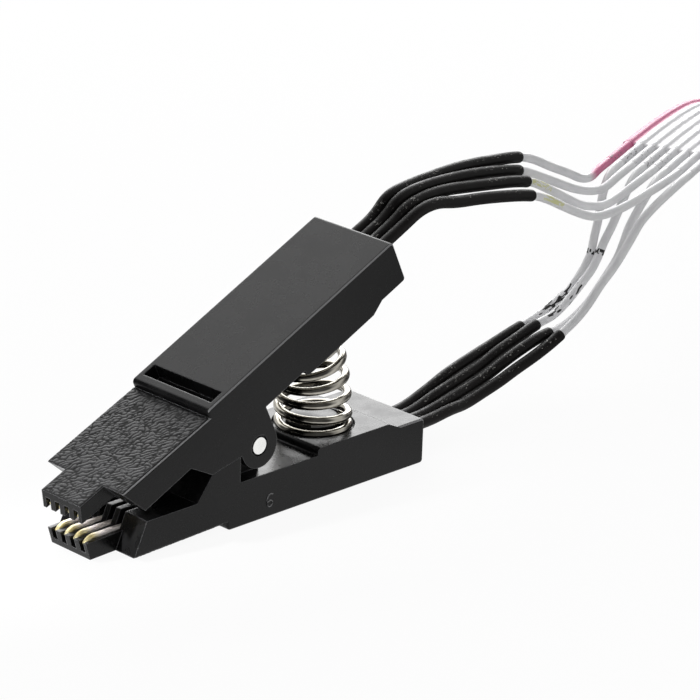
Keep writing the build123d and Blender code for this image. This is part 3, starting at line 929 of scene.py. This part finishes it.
def dim_room(tree, direction):
    """Share of the dim room in a direction: left of the camera, and behind the clip on the right."""
    sides = []
    for middle, start, full in dim_sides:
        towards = place(tree, "ShaderNodeVectorMath", {0: direction, 1: middle}, operation="DOT_PRODUCT")
        sides.append(remap(tree, towards.outputs["Value"], start, full, 0.0, dim_most))
    return math_node(tree, "MAXIMUM", *sides)


def make_floor():
    """Pale floor that reads white, keeps a soft shadow and runs into the dim room in reflections."""
    mesh = bpy.data.meshes.new("floor")
    reach = floor_size / 2
    mesh.from_pydata([(-reach, -reach, 0), (reach, -reach, 0), (reach, reach, 0), (-reach, reach, 0)], [],
                     [(0, 1, 2, 3)])
    floor = bpy.data.objects.new("floor", mesh)
    bpy.context.scene.collection.objects.link(floor)
    floor.location.z = -floor_drop
    material = bpy.data.materials.new("floor_white")
    material.use_nodes = True
    tree = material.node_tree
    tree.nodes.clear()
    seen = place(tree, "ShaderNodeLightPath")
    direct = math_node(tree, "MAXIMUM", seen.outputs["Is Camera Ray"], seen.outputs["Is Glossy Ray"])
    direct = math_node(tree, "MAXIMUM", direct, seen.outputs["Is Transmission Ray"])
    spot = place(tree, "ShaderNodeNewGeometry").outputs["Position"]
    outward = place(tree, "ShaderNodeVectorMath", {0: spot}, operation="NORMALIZE").outputs["Vector"]
    far = place(tree, "ShaderNodeVectorMath", {0: spot}, operation="LENGTH").outputs["Value"]
    unlit = math_node(tree, "MULTIPLY", dim_room(tree, outward),
                      remap(tree, far, dim_floor_start, dim_floor_full))
    unlit = math_node(tree, "MULTIPLY", unlit, seen.outputs["Is Glossy Ray"])
    matt = place(tree, "ShaderNodeBsdfDiffuse", {"Color": (floor_grey, floor_grey, floor_grey, 1.0)})
    white = place(tree, "ShaderNodeEmission", {
        "Color": (1.0, 1.0, 1.0, 1.0), "Strength": math_node(tree, "SUBTRACT", 1.0, unlit)})
    shared = place(tree, "ShaderNodeMixShader", {
        0: math_node(tree, "MULTIPLY", direct, floor_white_share), 1: matt.outputs[0], 2: white.outputs[0]})
    place(tree, "ShaderNodeOutputMaterial", {"Surface": shared.outputs[0]})
    mesh.materials.append(material)


def make_world():
    """White surround, with a dim room in reflections."""
    world = bpy.data.worlds.new("surround")
    bpy.context.scene.world = world
    world.use_nodes = True
    tree = world.node_tree
    tree.nodes.clear()
    seen = place(tree, "ShaderNodeLightPath")
    direction = place(tree, "ShaderNodeTexCoord").outputs["Generated"]
    mirrored = math_node(tree, "SUBTRACT", 1.0, dim_room(tree, direction))
    plain = math_node(tree, "MAXIMUM", seen.outputs["Is Camera Ray"], seen.outputs["Is Transmission Ray"])
    strength = place(tree, "ShaderNodeMix", {
        "Factor": seen.outputs["Is Glossy Ray"], "A": surround_light, "B": mirrored})
    strength = place(tree, "ShaderNodeMix", {"Factor": plain, "A": strength.outputs["Result"], "B": 1.0})
    light = place(tree, "ShaderNodeBackground", {
        "Color": (1.0, 1.0, 1.0, 1.0), "Strength": strength.outputs["Result"]})
    place(tree, "ShaderNodeOutputWorld", {"Surface": light.outputs[0]})


def hang(light, location, target):
    """Places a lamp, facing a point."""
    lamp = bpy.data.objects.new(light.name, light)
    bpy.context.scene.collection.objects.link(lamp)
    lamp.location = location
    lamp.rotation_euler = (Vector(target) - Vector(location)).to_track_quat("-Z", "Y").to_euler()


def make_panel(name, location, target, size, radiance):
    """Soft light panel facing a point, at a brightness next to white paper at 1."""
    light = bpy.data.lights.new(name, "AREA")
    light.shape = "RECTANGLE"
    light.size, light.size_y = size
    light.energy = radiance * math.pi * size[0] * size[1]
    hang(light, location, target)


def make_snoot(name, location, target, cone, power):
    """Narrow lamp on one small place, with a soft rim."""
    light = bpy.data.lights.new(name, "SPOT")
    light.spot_size = math.radians(cone)
    light.spot_blend = 0.6
    light.shadow_soft_size = 12 * mm
    light.energy = power
    hang(light, location, target)


def make_camera():
    """Camera at the photograph's place, angle and lens."""
    data = bpy.data.cameras.new("camera")
    data.sensor_width = camera_sensor
    data.lens = camera_lens
    data.clip_start = 0.01
    camera = bpy.data.objects.new("camera", data)
    bpy.context.scene.collection.objects.link(camera)
    camera.location = camera_place
    camera.rotation_euler = [math.radians(angle) for angle in camera_turn]
    bpy.context.scene.camera = camera


make_floor()
make_world()
make_panel("back_panel", (0.434, 0.427, 0.228), (0.0, 0.0, 0.01), size=(0.5, 0.34), radiance=5.0)
make_panel("top_panel", (0.10, 0.42, 0.52), (0.0, 0.0, 0.0), size=(0.65, 0.6), radiance=1.4)
make_snoot("contact_snoot", (-0.20, 0.05, 0.10), (-0.0168, 0.0, 0.0025), cone=5.0, power=6.5)
make_camera()
bpy.context.scene.view_settings.view_transform = "Standard"
